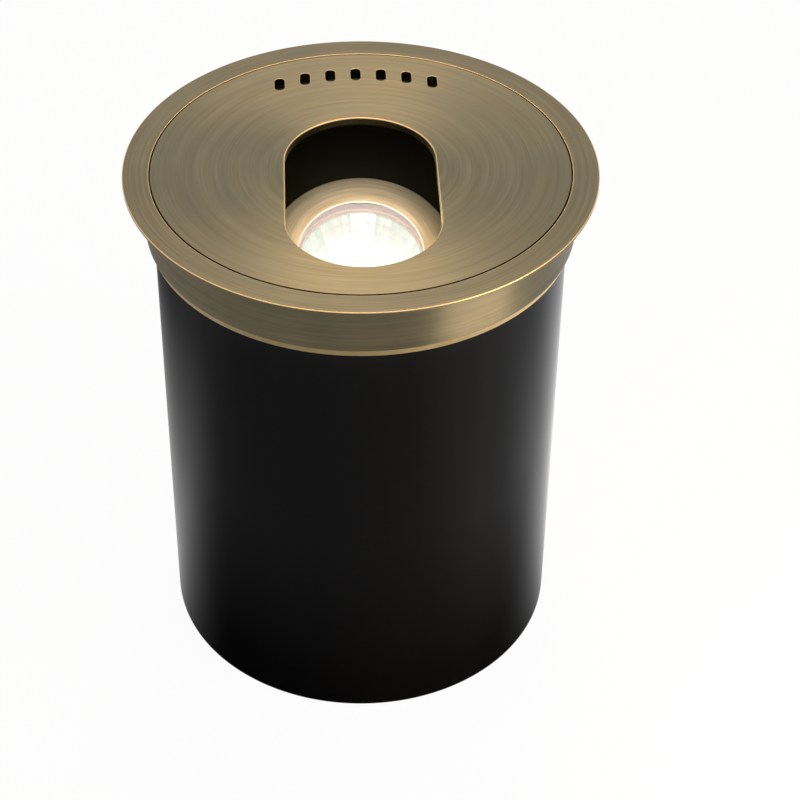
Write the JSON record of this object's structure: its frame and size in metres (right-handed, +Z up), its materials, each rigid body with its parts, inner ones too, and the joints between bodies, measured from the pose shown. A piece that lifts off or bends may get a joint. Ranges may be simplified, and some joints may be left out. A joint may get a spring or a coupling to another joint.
{
  "type": "in ground well light",
  "caption": "Sunken outdoor uplight: black sleeve with a flanged brass top, a slotted lid with a long opening, and a tilting, turning lamp head inside.",
  "frame": {"origin": "centre of the sleeve's lower end, on the surface it stands on", "axes": "+Z up through the lid; the lid's long opening points to -Y and its vent slots lie at +Y; X is the lamp's tilt axis"},
  "size_m": [0.178, 0.178, 0.211],
  "materials": {
    "sleeve_plastic": "smooth black, slightly glossy",
    "brass": "aged brass, turned and brushed in circles",
    "seal_rubber": "soft black",
    "silicone": "soft red-brown",
    "glide_plastic": "slippery dark plastic",
    "black_steel": "black coated steel",
    "steel": "plain stainless steel",
    "cup_metal": "black coated cast metal",
    "lens_glass": "clear",
    "reflector": "faceted, thin coated glass",
    "capsule_glass": "lit",
    "ceramic": "unglazed white",
    "lead_cover": "white heat-resistant sleeve",
    "gland_plastic": "black nylon"
  },
  "bodies": {
    "well": {"sleeve": "sleeve_plastic", "trim_ring": "brass", "seat_gasket": "seal_rubber", "glide_ring": "glide_plastic", "ring_lug_1": "sleeve_plastic", "ring_lug_2": "sleeve_plastic", "ring_lug_3": "sleeve_plastic", "ring_screws": "steel", "drain_plate": "sleeve_plastic", "cable_grommet": "seal_rubber"},
    "carrier": {"carrier_ring": "black_steel", "hanger_left": "black_steel", "hanger_right": "black_steel", "hanger_screws": "steel", "hanger_nuts": "steel"},
    "lid": {"lid": "brass", "lid_dowels": "steel"},
    "lamp_head": {"lamp_cup": "cup_metal", "pivot_stud_left": "steel", "pivot_stud_right": "steel", "friction_washer_left": "glide_plastic", "friction_washer_right": "glide_plastic", "lamp_retainer": "silicone", "lamp_reflector": "reflector", "lamp_capsule": "capsule_glass", "lamp_base": "ceramic", "lamp_pins": "steel", "socket": "ceramic", "standoffs": "steel", "socket_screws": "steel", "socket_leads": "lead_cover", "gland_body": "gland_plastic", "gland_seal": "seal_rubber", "gland_locknut": "gland_plastic", "gland_cap": "gland_plastic"},
    "lens_pack": {"lens": "lens_glass", "lens_gasket": "seal_rubber"},
    "bezel": {"bezel": "brass"},
    "left_knob_washer": {"knob_washer_left": "brass"},
    "left_knob": {"tilt_knob_left": "brass"},
    "right_knob_washer": {"knob_washer_right": "brass"},
    "right_knob": {"tilt_knob_right": "brass"}
  },
  "joints": [
    {"name": "carrier_turn", "type": "hinge", "parent": "well", "child": "carrier", "pos_m": [0, 0, 0.2055], "axis": [0, 0, 1], "continuous": true},
    {"name": "lid_lift", "type": "slide", "parent": "carrier", "child": "lid", "axis": [0, 0, 1], "range_m": [0, 0.06]},
    {"name": "lamp_tilt", "type": "hinge", "parent": "carrier", "child": "lamp_head", "pos_m": [0, 0.00217, 0.15573], "axis": [1, 0, 0], "range_deg": [-18, 17]},
    {"name": "lens_rise", "type": "slide", "parent": "lamp_head", "child": "lens_pack", "axis": [0, -0.309, 0.9511], "range_m": [0, 0.004]},
    {"name": "bezel_turn", "type": "hinge", "parent": "lens_pack", "child": "bezel", "pos_m": [0, -0.0037, 0.1738], "axis": [0, -0.309, 0.9511], "range_deg": [0, 720]},
    {"name": "left_knob_back_off", "type": "slide", "parent": "lamp_head", "child": "left_knob_washer", "axis": [-1, 0, 0], "range_m": [0, 0.0008]},
    {"name": "left_knob_turn", "type": "hinge", "parent": "left_knob_washer", "child": "left_knob", "pos_m": [-0.047, 0.00217, 0.15573], "axis": [-1, 0, 0], "range_deg": [0, 360]},
    {"name": "right_knob_back_off", "type": "slide", "parent": "lamp_head", "child": "right_knob_washer", "axis": [1, 0, 0], "range_m": [0, 0.0008]},
    {"name": "right_knob_turn", "type": "hinge", "parent": "right_knob_washer", "child": "right_knob", "pos_m": [0.047, 0.00217, 0.15573], "axis": [1, 0, 0], "range_deg": [0, 360]}
  ],
  "couplings": [
    {"joint": "lens_rise", "follows": "bezel_turn", "m_per_rad": 0.000318},
    {"joint": "left_knob_turn", "follows": "left_knob_back_off", "rad_per_m": 7854},
    {"joint": "right_knob_turn", "follows": "right_knob_back_off", "rad_per_m": 7854}
  ]
}
